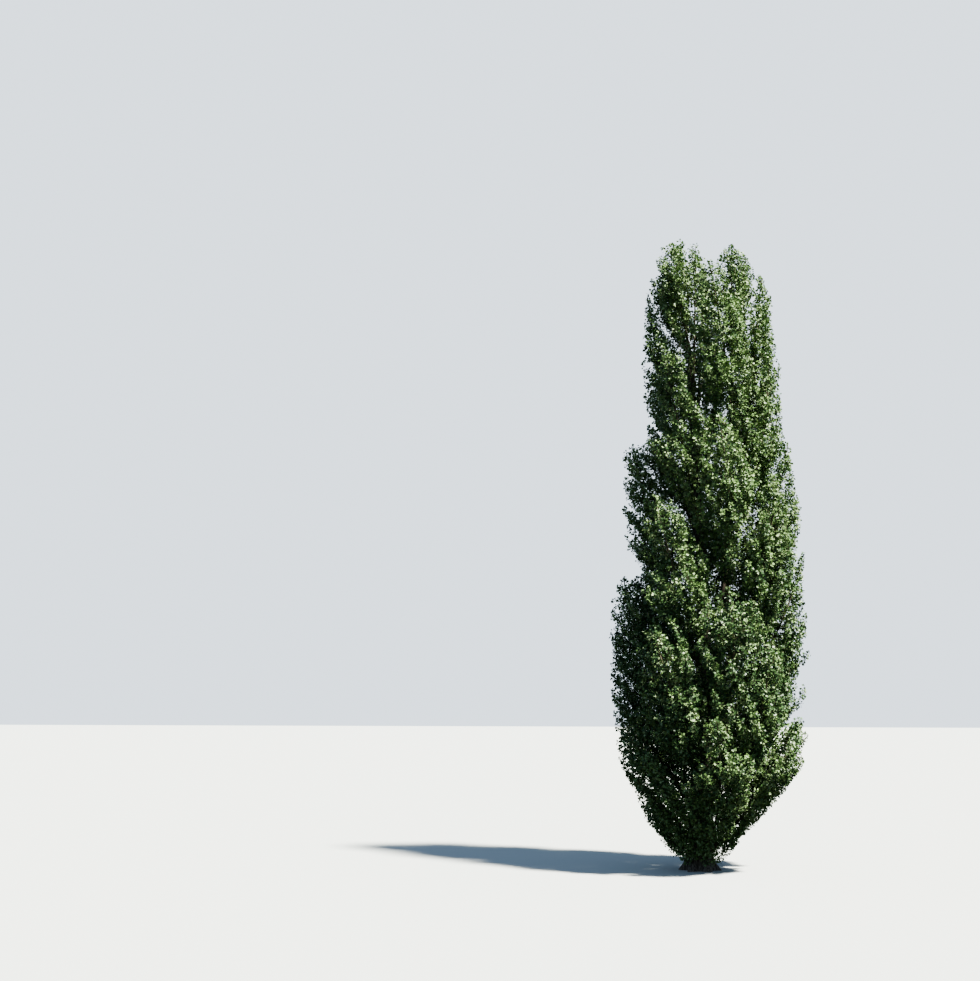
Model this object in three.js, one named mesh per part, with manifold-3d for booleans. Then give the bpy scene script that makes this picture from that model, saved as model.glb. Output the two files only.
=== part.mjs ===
// A Lombardy poplar in full leaf: a tall, narrow tree whose boughs leave the trunk at a steep angle and then
// turn up beside it, each one ending in its own plume of foliage.
// Lengths are in millimetres and angles in degrees. +Z is up, -Y is the tree's front and +X is to its right.
// The origin is the middle of the trunk's flat foot, at ground level.

import * as THREE from "three";
import { mergeVertices } from "three/addons/utils/BufferGeometryUtils.js";
import Module from "manifold-3d";

const wasm = await Module();
wasm.setup();

const SEED = 7;
const UP = new THREE.Vector3(0, 0, 1);
const BACK = new THREE.Vector3(0, 1, 0);
const FRONT = new THREE.Vector3(0, -1, 0);
const GOLDEN_ANGLE = 137.508;

// How near two corners must be to be one, and how often a curve is halved to find a height on it.
const MERGE_WITHIN = 0.001;
const HALVINGS = 30;

// Touching pieces keep this gap, and foliage keeps further off the wood and the ground.
const SEAT_GAP = 0.3;
const WOOD_CLEARANCE = 35;
const GROUND_CLEARANCE = 150;

const TREE_HEIGHT = 20000;

// Crown outline: height, radius, and how far its middle lies to the right of the foot.
const CROWN = [
  [0, 600, 0],
  [1000, 1350, 0],
  [2000, 2150, 170],
  [3200, 3000, 450],
  [4600, 3150, 460],
  [7000, 3160, 400],
  [8700, 3080, 480],
  [9200, 2700, 740],
  [10300, 2900, 620],
  [13000, 2680, 460],
  [13400, 2280, 720],
  [15500, 2260, 660],
  [18000, 2020, 620],
  [19300, 1600, 460],
  [20000, 1200, 400],
];

// Trunk: it swells into a buttressed foot, sways a little to the right and ends inside the top of the crown.
const TRUNK_TOP = 16400;
const TRUNK_RADIUS = 330;
const TRUNK_TIP_RADIUS = 62;
const TRUNK_SWAY_RIGHT = 260;
const TRUNK_SWAY_BACK = 120;
const TRUNK_SIDES = 18;
const TRUNK_RINGS = 16;
const FLARE_RADIUS = 210;
const FLARE_HEIGHT = 400;
const BUTTRESSES = 6;
const BUTTRESS_DEPTH = 0.22;

// The second leader leaves the trunk low down and carries the right-hand top.
const LEADER_LEAVES_AT = 2300;
const LEADER_TOP = 15400;
const LEADER_RIGHT = 1330;
const LEADER_RADIUS = 175;
const LEADER_TIP_RADIUS = 55;
const LEADER_SIDES = 10;
const LEADER_RINGS = 12;

// What grows on the right, above this height, grows from the second leader: so many degrees either side of +X.
const LEADER_CARRIES_FROM = 3000;
const LEADER_SECTOR = 85;

// Tiers of plumes: the height of their tips, how many there are, the direction of the first one anticlockwise
// from +X, the height at which they leave the trunk, their greatest radius, how much they bow outwards, and
// whether a bare bough carries each of them.
const TIERS = [
  { tip: 18300, count: 4, turn: 182, leaves: 12200, girth: 1250, bow: 0.7, onBough: false },
  { tip: 16100, count: 4, turn: 227, leaves: 9700, girth: 1250, bow: 0.7, onBough: true },
  { tip: 13400, count: 4, turn: 184, leaves: 7400, girth: 1250, bow: 0.7, onBough: true },
  { tip: 11400, count: 4, turn: 232, leaves: 5100, girth: 1250, bow: 0.7, onBough: true },
  { tip: 9200, count: 4, turn: 184, leaves: 3200, girth: 1300, bow: 0.7, onBough: true },
  { tip: 7300, count: 5, turn: 164, leaves: 1700, girth: 1350, bow: 0.6, onBough: true },
  { tip: 4800, count: 6, turn: 150, leaves: 260, girth: 1350, bow: 0, onBough: false },
];
const HEIGHT_JITTER = 700;
const LOW_JITTER_SHARE = 0.3;
const TURN_JITTER = 11;
const SPIRAL = 26;

// The rising curve of a bough or a plume: how far out its two middle knots are, steep and bowed, how far up they
// are, and how much of the spiral the higher one keeps.
const LOW_KNOT = { steep: 0.38, bowed: 0.5, climbed: 0.25, turned: 1 };
const HIGH_KNOT = { steep: 0.72, bowed: 0.96, climbed: 0.66, turned: 0.35 };

// A plume's tip is in from the crown's outline by this share of its radius there.
const TIP_INSET_SHARE = 1 / 3;

// The tops: how far right and back each tip stands, its height, the plume's greatest radius, and the height at
// which it leaves its limb. The first ends the trunk, the second ends the leader, and the others stand between.
const TOP_SINKS = 60;
const TOPS = [
  {
    name: "foliage_top_left", limb: "trunk", right: -400, back: 0, tip: 20000, girth: 1300,
    leaves: TRUNK_TOP - TOP_SINKS,
  },
  {
    name: "foliage_top_right", limb: "second_leader", right: 1400, back: 0, tip: 19850, girth: 1150,
    leaves: LEADER_TOP - TOP_SINKS,
  },
  { name: "foliage_top_middle", limb: "trunk", right: 250, back: -250, tip: 19850, girth: 1200, leaves: 14200 },
  { name: "foliage_top_back", limb: "trunk", right: 500, back: 800, tip: 19300, girth: 1250, leaves: 13200 },
];
const TOP_BOW = 0.5;

// A bough is the bare first part of its plume's stem.
const BOUGH_SHARE = 0.25;
const BOUGH_RADIUS = 92;
const HIGH_BOUGH_SHARE = 0.62;
const BOUGH_TIP_SHARE = 0.55;
const BOUGH_SIDES = 6;
const BOUGH_RINGS = 4;

// A plume is widest at PLUME_WAIST of its length, and narrows to a share of its girth at either end. A smaller
// power gives a rounder end.
const PLUME_WAIST = 0.45;
const PLUME_FOOT_SHARE = 0.6;
const PLUME_FOOT_POWER = 0.5;
const PLUME_TIP_SHARE = 0.2;
const PLUME_TIP_POWER = 0.85;
const PLUME_STEPS = 20;
const NEIGHBOUR_MARGIN = 1.06;
const NEIGHBOUR_GAP = 0.03;

// The stem inside a plume, and the dense middle round it.
const STEM_SIDES = 5;
const STEM_RINGS = 3;
const STEM_RADIUS = 48;
const STEM_TIP_RADIUS = 22;
const STEM_END = 0.9;
const CORE_SHARE = 0.74;
const CORE_LEAST = 1.1;
const CORE_ROUGHNESS = 0.2;
const CORE_SIDES = 8;
const CORE_RINGS = 7;
const CORE_START = 0.05;
const CORE_END = 0.93;
const CORE_END_TAPER = 0.2;
const CORE_END_SHARE = 0.35;
const CORE_MARCH_STEPS = 12;

// Leaves: each stands for a spray, on a three-sided twig that leaves the stem at a steep angle. Its width and
// thickness are shares of its length.
const LEAF_MOST = 1050;
const LEAF_LEAST = 600;
const LEAF_WIDTH = 0.68;
const LEAF_THICKNESS = 0.07;
const LEAF_WIDEST = 0.55;
const LEAF_ROLL = 80;
const LEAF_SINKS = 70;
const LEAF_ROOT_SHARE = 0.7;
const NARROW_LEAF = 0.7;
const TWIG_ANGLE = 48;
const TWIG_ANGLE_JITTER = 6;
const TWIG_RADIUS = 26;
const TWIG_MARCH_STEPS = 24;
const TWIG_MOST = 1.3;
const TWIG_KEEPS = 0.985;
const TWIGS_FROM = 0.05;
const TWIGS_TO = 0.86;
const TWIGS_TRIED = 40;
const TWIG_STRIDE = 7;
const LEAVES_PER_PLUME = 7;
const TOP_LEAF_FROM = 0.78;

const radians = THREE.MathUtils.degToRad;
const { lerp, clamp } = THREE.MathUtils;

// A seeded generator of numbers from 0 to 1, so that every run grows the same tree.
function seeded(seed) {
  let state = seed >>> 0;
  return () => {
    state = (Math.imul(state, 1664525) + 1013904223) >>> 0;
    return state / 4294967296;
  };
}

// The value in one column of a table of stations, between the two nearest heights.
function atHeight(table, height, column) {
  const above = table.findIndex((row) => row[0] >= height);
  if (above < 0) return table[table.length - 1][column];
  if (above === 0) return table[0][column];
  const [low, high] = [table[above - 1], table[above]];
  return lerp(low[column], high[column], (height - low[0]) / (high[0] - low[0]));
}

// The point of the crown at a height, a distance out from its middle and a direction.
function inCrown(height, out, degrees) {
  const angle = radians(degrees);
  const middle = atHeight(CROWN, height, 2);
  return new THREE.Vector3(middle + out * Math.cos(angle), out * Math.sin(angle), height);
}

// The middle line of the trunk, upright at its foot and at its tip.
class TrunkLine extends THREE.Curve {
  getPoint(t, target = new THREE.Vector3()) {
    const sway = 0.5 - 0.5 * Math.cos(2 * Math.PI * t);
    return target.set(TRUNK_SWAY_RIGHT * sway, TRUNK_SWAY_BACK * sway, TRUNK_TOP * t);
  }
}

// The trunk's radius: an even taper, with a foot that swells between its buttresses.
function trunkRadius(t, angle) {
  const flare = Math.exp((-t * TRUNK_TOP) / FLARE_HEIGHT);
  const ridge = BUTTRESS_DEPTH * flare * Math.cos(BUTTRESSES * angle);
  return (lerp(TRUNK_RADIUS, TRUNK_TIP_RADIUS, t) + FLARE_RADIUS * flare) * (1 + ridge);
}

// A curve that leaves a limb at a steep angle, bows outwards and turns up to its tip.
function risingCurve(start, tip, bow, spiral) {
  const out = new THREE.Vector3(tip.x - start.x, tip.y - start.y, 0);
  const [low, high] = [LOW_KNOT, HIGH_KNOT].map((knot) =>
    start
      .clone()
      .addScaledVector(
        out.clone().applyAxisAngle(UP, radians(knot.turned * spiral)),
        lerp(knot.steep, knot.bowed, bow),
      )
      .addScaledVector(UP, knot.climbed * (tip.z - start.z)),
  );
  return new THREE.CubicBezierCurve3(start, low, high, tip);
}

// The point of a limb's middle line at a height.
function pointAtHeight(curve, height) {
  let [low, high] = [0, 1];
  for (let i = 0; i < HALVINGS; i++) {
    const middle = (low + high) / 2;
    if (curve.getPoint(middle).z < height) low = middle;
    else high = middle;
  }
  return curve.getPoint(low);
}

// The direction across a curve that turns by an angle round it.
function acrossCurve(curve, t, angle) {
  const along = curve.getTangent(t);
  const across = new THREE.Vector3().crossVectors(along, BACK).normalize();
  const deep = new THREE.Vector3().crossVectors(across, along);
  return across.multiplyScalar(Math.cos(angle)).addScaledVector(deep, Math.sin(angle));
}

// Bends an upright unit cylinder along a curve, with a radius that may differ round the section, into a solid.
function limbSolid(curve, radius, sides, rings, from = 0, to = 1) {
  const geometry = new THREE.CylinderGeometry(1, 1, 1, sides, rings);
  const place = geometry.getAttribute("position");
  for (let i = 0; i < place.count; i++) {
    const t = lerp(from, to, place.getY(i) + 0.5);
    const angle = Math.atan2(place.getZ(i), place.getX(i));
    const reach = radius(t, angle) * Math.hypot(place.getX(i), place.getZ(i));
    const point = curve.getPoint(t).addScaledVector(acrossCurve(curve, t, angle), reach);
    place.setXYZ(i, point.x, point.y, point.z);
  }
  return solidFrom(geometry);
}

// A closed three.js geometry as a solid that can be cut and joined.
function solidFrom(geometry) {
  const bare = geometry.clone();
  bare.deleteAttribute("normal");
  bare.deleteAttribute("uv");
  const merged = mergeVertices(bare, MERGE_WITHIN);
  return new wasm.Manifold(
    new wasm.Mesh({
      numProp: 3,
      vertProperties: merged.getAttribute("position").array,
      triVerts: new Uint32Array(merged.index.array),
    }),
  );
}

// A solid's faces as a three.js geometry.
function geometryFrom(solid) {
  const { vertProperties, triVerts } = solid.getMesh();
  const geometry = new THREE.BufferGeometry();
  geometry.setAttribute("position", new THREE.BufferAttribute(vertProperties, 3));
  geometry.setIndex(new THREE.BufferAttribute(triVerts, 1));
  return geometry;
}

// The largest body of a solid, once the vertices that meet are merged: a loose scrap is dropped, and so is the
// wall of a sealed hollow.
function largestBody(solid) {
  const bodies = solidFrom(geometryFrom(solid)).decompose();
  return bodies.reduce((best, body) => (body.volume() > best.volume() ? body : best));
}

function meshFrom(name, solid, material) {
  const geometry = geometryFrom(largestBody(solid));
  geometry.computeVertexNormals();
  const mesh = new THREE.Mesh(geometry, material);
  mesh.name = name;
  return mesh;
}

// A line of points along a curve, each with the radius there.
function sampled(curve, radius, from, to, steps) {
  return Array.from({ length: steps + 1 }, (_, i) => {
    const t = lerp(from, to, i / steps);
    return { point: curve.getPoint(t), radius: radius(t, 0) };
  });
}

// The least value, over the stretches of a sampled line, of what measure makes of a distance and a radius.
function leastAlong(line, point, measure) {
  let least = Infinity;
  const span = new THREE.Vector3();
  const reach = new THREE.Vector3();
  for (let i = 1; i < line.length; i++) {
    span.subVectors(line[i].point, line[i - 1].point);
    reach.subVectors(point, line[i - 1].point);
    const share = clamp(reach.dot(span) / span.lengthSq(), 0, 1);
    const distance = reach.addScaledVector(span, -share).length();
    least = Math.min(least, measure(distance, lerp(line[i - 1].radius, line[i].radius, share)));
  }
  return least;
}

// A plume's radius, as a share of its girth, at a share of its length: a flame, blunt below.
function plumeShare(share) {
  const low = share < PLUME_WAIST;
  const [end, power] = low ? [PLUME_FOOT_SHARE, PLUME_FOOT_POWER] : [PLUME_TIP_SHARE, PLUME_TIP_POWER];
  const off = low ? 1 - share / PLUME_WAIST : (share - PLUME_WAIST) / (1 - PLUME_WAIST);
  return end + (1 - end) * Math.max(0, 1 - off * off) ** power;
}

// The space of one plume, along its curve from where it starts to its tip.
function plumeSpace(name, curve, from, girth, stemRadius) {
  const radius = (t) => girth * plumeShare((t - from) / (1 - from));
  const line = sampled(curve, radius, from, 1, PLUME_STEPS);
  return { name, curve, from, girth, stemRadius, radius, line };
}

// How far out a point lies in a plume's space: 0 on its stem and 1 at its surface.
const shareIn = (space, point) => leastAlong(space.line, point, (distance, radius) => distance / radius);

// Whether a point is inside the crown's outline.
function inOutline(point) {
  const across = Math.hypot(point.x - atHeight(CROWN, point.z, 2), point.y);
  return point.z > GROUND_CLEARANCE && point.z < TREE_HEIGHT && across < atHeight(CROWN, point.z, 1);
}

// Whether a point is in a plume's own space: inside its surface and the crown's, nearer to it than to its
// neighbours, and clear of the wood.
function isFree(space, point) {
  const own = shareIn(space, point);
  if (own > 1 || !inOutline(point)) return false;
  const least = own * NEIGHBOUR_MARGIN + NEIGHBOUR_GAP;
  if (spaces.some((other) => other !== space && shareIn(other, point) < least)) return false;
  return limbs.every((limb) => leastAlong(limb.samples, point, (d, r) => d - r) > WOOD_CLEARANCE);
}

// How far a straight line can run from a start before it leaves the plume's space.
function freeRun(space, start, direction, most, steps) {
  let run = 0;
  for (let i = 1; i <= steps; i++) {
    const next = (most * i) / steps;
    if (!isFree(space, start.clone().addScaledVector(direction, next))) break;
    run = next;
  }
  return run;
}

// The radius of a plume's dense middle in one direction: a share of the room there, in and out by turns.
function coreRadius(space, t, angle) {
  const share = (t - space.from) / (1 - space.from);
  const taper = Math.min(1, CORE_END_SHARE + (CORE_END - share) / CORE_END_TAPER);
  const ring = (CORE_RINGS * (share - CORE_START)) / (CORE_END - CORE_START);
  const turns = Math.cos((CORE_SIDES * angle) / 2 + Math.PI * ring);
  const direction = acrossCurve(space.curve, t, angle);
  const room = freeRun(space, space.curve.getPoint(t), direction, space.radius(t), CORE_MARCH_STEPS);
  return Math.max(CORE_SHARE * room * taper * (1 + CORE_ROUGHNESS * turns), space.stemRadius * CORE_LEAST);
}

// The dense middle of a plume, narrower where a neighbour or a limb is near.
function coreSolid(space) {
  const radius = (t, angle) => coreRadius(space, t, angle);
  const [start, end] = [lerp(space.from, 1, CORE_START), lerp(space.from, 1, CORE_END)];
  return limbSolid(space.curve, radius, CORE_SIDES, CORE_RINGS, start, end);
}

// A leaf whose foot is at a point: a flat kite of eight faces, made from an octahedron whose lowest corner is
// the foot, its highest one the tip and its other four the widest part.
function leafGeometry(foot, along, facing, length, breadth = 1) {
  const geometry = new THREE.OctahedronGeometry(1, 0);
  const place = geometry.getAttribute("position");
  const sideways = new THREE.Vector3().crossVectors(along, facing).normalize();
  const outward = new THREE.Vector3().crossVectors(sideways, along);
  for (let i = 0; i < place.count; i++) {
    const [x, y, z] = [place.getX(i), place.getY(i), place.getZ(i)];
    const atEnd = Math.hypot(x, z) < MERGE_WITHIN;
    const climbed = atEnd ? (y + 1) / 2 : LEAF_WIDEST;
    const point = foot
      .clone()
      .addScaledVector(along, climbed * length)
      .addScaledVector(sideways, (x * LEAF_WIDTH * length * breadth) / 2)
      .addScaledVector(outward, (z * LEAF_THICKNESS * length) / 2);
    place.setXYZ(i, point.x, point.y, point.z);
  }
  return geometry;
}

// Whether the corners of a leaf and the middles of its edges are all in the plume's own space.
function leafIsFree(geometry, space) {
  const place = geometry.getAttribute("position");
  const [corner, next] = [new THREE.Vector3(), new THREE.Vector3()];
  for (let i = 0; i < place.count; i++) {
    corner.fromBufferAttribute(place, i);
    next.fromBufferAttribute(place, i % 3 === 2 ? i - 2 : i + 1);
    if (!isFree(space, corner) || !isFree(space, next.lerp(corner, 0.5))) return false;
  }
  return true;
}

// One twig with its leaf, or nothing where they would leave the plume's space. The leaf's foot is inside the
// dense middle, and the leaf is turned about its own length by a roll.
function sprayPieces(space, t, turn, angle, roll) {
  const root = space.curve.getPoint(t);
  const outward = acrossCurve(space.curve, t, turn);
  const direction = space.curve
    .getTangent(t)
    .multiplyScalar(Math.cos(angle))
    .addScaledVector(outward, Math.sin(angle));
  const most = (TWIG_MOST * space.girth) / Math.sin(angle);
  const reach = freeRun(space, root, direction, most, TWIG_MARCH_STEPS) * TWIG_KEEPS;
  const skin = (LEAF_ROOT_SHARE * coreRadius(space, t, turn)) / Math.sin(angle);
  const foot = Math.max(skin, reach - LEAF_MOST);
  if (reach - foot < LEAF_LEAST) return [];
  const start = root.clone().addScaledVector(direction, foot);
  const facing = outward.clone().applyAxisAngle(direction, roll);
  for (const breadth of [1, NARROW_LEAF]) {
    const leaf = leafGeometry(start, direction, facing, reach - foot, breadth);
    if (!leafIsFree(leaf, space)) continue;
    const end = start.clone().addScaledVector(direction, LEAF_SINKS);
    const twig = limbSolid(new THREE.LineCurve3(root, end), () => TWIG_RADIUS, 3, 1);
    return [twig, solidFrom(leaf)];
  }
  return [];
}

// The leaf that stands on the end of a plume's stem and reaches its tip.
function topLeafSolid(space) {
  const foot = space.curve.getPoint(lerp(space.from, 1, TOP_LEAF_FROM));
  const way = space.curve.getPoint(1).sub(foot).normalize();
  const length = freeRun(space, foot, way, 2 * LEAF_MOST, 2 * TWIG_MARCH_STEPS);
  return solidFrom(leafGeometry(foot, way, FRONT, length, NARROW_LEAF));
}

// A plume of foliage: its stem and dense middle, with leafy twigs that stand out of them all round.
function plumeSolid(space, random) {
  const stemRadius = (t) => lerp(space.stemRadius, STEM_TIP_RADIUS, (t - space.from) / (1 - space.from));
  const end = lerp(space.from, 1, STEM_END);
  const pieces = [
    limbSolid(space.curve, stemRadius, STEM_SIDES, STEM_RINGS, space.from, end),
    coreSolid(space),
    topLeafSolid(space),
  ];
  let leaves = 1;
  for (let i = 0; i < TWIGS_TRIED && leaves < LEAVES_PER_PLUME; i++) {
    const share = lerp(TWIGS_FROM, TWIGS_TO, ((i * TWIG_STRIDE) % TWIGS_TRIED) / TWIGS_TRIED);
    const angle = radians(TWIG_ANGLE + TWIG_ANGLE_JITTER * (2 * random() - 1));
    const roll = radians(LEAF_ROLL * (2 * random() - 1));
    const made = sprayPieces(space, lerp(space.from, 1, share), radians(i * GOLDEN_ANGLE), angle, roll);
    pieces.push(...made);
    if (made.length) leaves += 1;
  }
  return limbs.reduce((left, limb) => left.subtract(limb.around), wasm.Manifold.union(pieces));
}

const barkMaterial = new THREE.MeshStandardMaterial({ color: 0x6b6255, roughness: 0.95, metalness: 0 });
const leafMaterials = [0x4a6431, 0x3f5a2c, 0x557038].map(
  (color) => new THREE.MeshStandardMaterial({ color, roughness: 0.55, metalness: 0 }),
);

const tree = new THREE.Group();
const limbs = [];
const spaces = [];

// A limb seated on those before it, and the same shape a seat's gap larger, which cuts what is seated on it.
function addLimb(name, line, radius, sides, rings, to = 1) {
  const solid = limbSolid(line, radius, sides, rings, 0, to);
  const wider = (t, angle) => radius(t, angle) + SEAT_GAP;
  const around = limbSolid(line, wider, sides, rings, 0, to + SEAT_GAP / line.getLength());
  const seated = limbs.reduce((left, limb) => left.subtract(limb.around), solid);
  const limb = { name, line, around, samples: sampled(line, radius, 0, to, rings) };
  tree.add(meshFrom(name, seated, barkMaterial));
  limbs.push(limb);
  return limb;
}

const trunk = addLimb("trunk", new TrunkLine(), trunkRadius, TRUNK_SIDES, TRUNK_RINGS);

const leaderFoot = pointAtHeight(trunk.line, LEADER_LEAVES_AT);
const leaderLine = risingCurve(leaderFoot, new THREE.Vector3(LEADER_RIGHT, 0, LEADER_TOP), 1, 0);
const leaderRadius = (t) => lerp(LEADER_RADIUS, LEADER_TIP_RADIUS, t);
const leader = addLimb("second_leader", leaderLine, leaderRadius, LEADER_SIDES, LEADER_RINGS);

// The curve of one plume of a tier, from the trunk or the leader.
function tierCurve(tier, turn, lift) {
  const leaves = tier.leaves + lift;
  const onRight = Math.cos(radians(turn + SPIRAL)) > Math.cos(radians(LEADER_SECTOR));
  const limb = leaves > LEADER_CARRIES_FROM && onRight ? leader : trunk;
  const tipRadius = tier.girth * PLUME_TIP_SHARE;
  const height = tier.tip + lift - tipRadius;
  const out = atHeight(CROWN, height, 1) - tipRadius * TIP_INSET_SHARE;
  return risingCurve(pointAtHeight(limb.line, leaves), inCrown(height, out, turn), tier.bow, SPIRAL);
}

// The boughs and the spaces of the plumes, tier by tier. The first plume of a tier keeps the tier's own height
// and direction, and the others stray from theirs.
const random = seeded(SEED);
const jitter = (size) => size * (2 * random() - 1);
let number = 0;
for (const tier of TIERS) {
  for (let i = 0; i < tier.count; i++) {
    number += 1;
    const digits = String(number).padStart(2, "0");
    const strays = i > 0 ? 1 : 0;
    const turn = tier.turn + (360 * i) / tier.count + strays * jitter(TURN_JITTER);
    const lift = strays * jitter(Math.min(HEIGHT_JITTER, LOW_JITTER_SHARE * tier.leaves));
    const curve = tierCurve(tier, turn, lift);
    if (tier.onBough) {
      const thick = BOUGH_RADIUS * lerp(1, HIGH_BOUGH_SHARE, clamp(tier.leaves / TRUNK_TOP, 0, 1));
      const radius = (t) => thick * lerp(1, BOUGH_TIP_SHARE, t / BOUGH_SHARE);
      addLimb(`bough_${digits}`, curve, radius, BOUGH_SIDES, BOUGH_RINGS, BOUGH_SHARE);
      spaces.push(plumeSpace(`foliage_${digits}`, curve, BOUGH_SHARE, tier.girth, thick * BOUGH_TIP_SHARE));
    } else {
      spaces.push(plumeSpace(`foliage_${digits}`, curve, 0, tier.girth, STEM_RADIUS));
    }
  }
}

// The spaces of the tops.
for (const top of TOPS) {
  const limb = limbs.find(({ name }) => name === top.limb);
  const tip = new THREE.Vector3(top.right, top.back, top.tip - top.girth * PLUME_TIP_SHARE);
  const curve = risingCurve(pointAtHeight(limb.line, top.leaves), tip, TOP_BOW, 0);
  spaces.push(plumeSpace(top.name, curve, 0, top.girth, STEM_RADIUS));
}

// The plumes are grown once every limb and every neighbour's space is known.
spaces.forEach((space, i) => {
  const material = leafMaterials[i % leafMaterials.length];
  tree.add(meshFrom(space.name, plumeSolid(space, seeded(SEED + i)), material));
});

export default tree;
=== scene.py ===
# A Lombardy poplar in full leaf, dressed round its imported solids. The trunk and boughs get furrowed bark,
# and each mass of foliage is grown anew as shoots, twigs and leaves inside the space that its solid
# keeps. Lengths are in metres unless a name says mm, and angles are in degrees unless a name says
# radians. A share is a part of 1. +Z is up, +X is to the right and -Y is the tree's front.

import math

import bmesh
import bpy
import numpy as np
from mathutils import Euler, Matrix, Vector, noise


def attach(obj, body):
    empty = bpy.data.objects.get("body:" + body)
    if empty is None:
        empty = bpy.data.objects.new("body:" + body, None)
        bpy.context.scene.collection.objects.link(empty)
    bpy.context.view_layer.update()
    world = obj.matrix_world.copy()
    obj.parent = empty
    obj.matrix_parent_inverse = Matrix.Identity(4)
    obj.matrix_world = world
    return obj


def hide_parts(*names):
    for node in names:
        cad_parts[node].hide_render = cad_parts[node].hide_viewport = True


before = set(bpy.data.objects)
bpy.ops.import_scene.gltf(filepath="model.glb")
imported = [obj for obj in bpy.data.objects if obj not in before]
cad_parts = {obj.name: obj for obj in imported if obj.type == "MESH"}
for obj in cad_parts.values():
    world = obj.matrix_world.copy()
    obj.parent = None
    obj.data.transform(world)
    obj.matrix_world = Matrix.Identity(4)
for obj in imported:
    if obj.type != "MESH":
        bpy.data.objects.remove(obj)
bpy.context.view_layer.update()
bpy.ops.object.select_all(action="DESELECT")

SEED = 7

# Directions, and FLAT, which takes the height out of a vector when it is multiplied by it.
UP = np.array([0.0, 0.0, 1.0])
BACK = np.array([0.0, 1.0, 0.0])
LEFT = np.array([-1.0, 0.0, 0.0])
FLAT = np.array([1.0, 1.0, 0.0])
GOLDEN_ANGLE = 137.508

# A length of nothing counts as this, so that nothing is divided by 0.
TINY = 1e-12

# How finely lines are sampled: to find a height on them, their length and their nearest point.
HEIGHT_SAMPLES = 4001
LENGTH_SAMPLES = 60
NEAR_SAMPLES = 81

# Foliage keeps this far off the wood and the ground.
WOOD_CLEARANCE = 0.035
GROUND_CLEARANCE = 0.15

TREE_HEIGHT = 20.0

# Crown outline: height, radius, and how far its middle lies to the right of the foot.
CROWN = np.array(
    [
        [0.0, 0.60, 0.00],
        [1.0, 1.35, 0.00],
        [2.0, 2.15, 0.17],
        [3.2, 3.00, 0.45],
        [4.6, 3.15, 0.46],
        [7.0, 3.16, 0.40],
        [8.7, 3.08, 0.48],
        [9.2, 2.70, 0.74],
        [10.3, 2.90, 0.62],
        [13.0, 2.68, 0.46],
        [13.4, 2.28, 0.72],
        [15.5, 2.26, 0.66],
        [18.0, 2.02, 0.62],
        [19.3, 1.60, 0.46],
        [20.0, 1.20, 0.40],
    ]
)

# Trunk: it swells into a buttressed foot, sways a little to the right and ends inside the top of the crown.
TRUNK_TOP = 16.4
TRUNK_RADIUS = 0.33
TRUNK_TIP_RADIUS = 0.062
TRUNK_SWAY_RIGHT = 0.26
TRUNK_SWAY_BACK = 0.12
TRUNK_SIDES = 72
TRUNK_RINGS = 240
TRUNK_KNOTS = 17
FLARE_RADIUS = 0.21
FLARE_HEIGHT = 0.4
BUTTRESSES = 6
BUTTRESS_DEPTH = 0.22

# The second leader leaves the trunk low down and carries the right-hand top.
LEADER_LEAVES_AT = 2.3
LEADER_TOP = 15.4
LEADER_RIGHT = 1.33
LEADER_RADIUS = 0.175
LEADER_TIP_RADIUS = 0.055
LEADER_SIDES = 36
LEADER_RINGS = 160
LEADER_KNOTS = 13

# What grows above this height, and to the right, grows from the second leader: so far either side of +X.
LEADER_CARRIES_FROM = 3.0
LEADER_SECTOR = 85

# Tiers of plumes: the height of their tips, how many there are, the direction of the first one
# anticlockwise from +X, the height at which they leave their limb, their greatest radius, how much they
# bow outwards, and whether a bare bough carries each of them. All but the first one of a tier stray from
# their height and direction by a jitter, and each turns by a spiral on its way up.
TIERS = (
    {"tip": 18.3, "count": 4, "turn": 182, "leaves": 12.2, "girth": 1.25, "bow": 0.7, "on_bough": False},
    {"tip": 16.1, "count": 4, "turn": 227, "leaves": 9.7, "girth": 1.25, "bow": 0.7, "on_bough": True},
    {"tip": 13.4, "count": 4, "turn": 184, "leaves": 7.4, "girth": 1.25, "bow": 0.7, "on_bough": True},
    {"tip": 11.4, "count": 4, "turn": 232, "leaves": 5.1, "girth": 1.25, "bow": 0.7, "on_bough": True},
    {"tip": 9.2, "count": 4, "turn": 184, "leaves": 3.2, "girth": 1.30, "bow": 0.7, "on_bough": True},
    {"tip": 7.3, "count": 5, "turn": 164, "leaves": 1.7, "girth": 1.35, "bow": 0.6, "on_bough": True},
    {"tip": 4.8, "count": 6, "turn": 150, "leaves": 0.26, "girth": 1.35, "bow": 0, "on_bough": False},
)
HEIGHT_JITTER = 0.7
LOW_JITTER_SHARE = 0.3
TURN_JITTER = 11
SPIRAL = 26

# The rising line of a bough or a plume: how far out its two middle knots are where it is steep and where
# it is bowed, how far up they are, and how much of the spiral they keep.
LOW_KNOT = {"steep": 0.38, "bowed": 0.5, "climbed": 0.25, "turned": 1}
HIGH_KNOT = {"steep": 0.72, "bowed": 0.96, "climbed": 0.66, "turned": 0.35}

# A plume's tip is in from the crown's outline by this share of its radius there.
TIP_INSET_SHARE = 1 / 3

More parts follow.
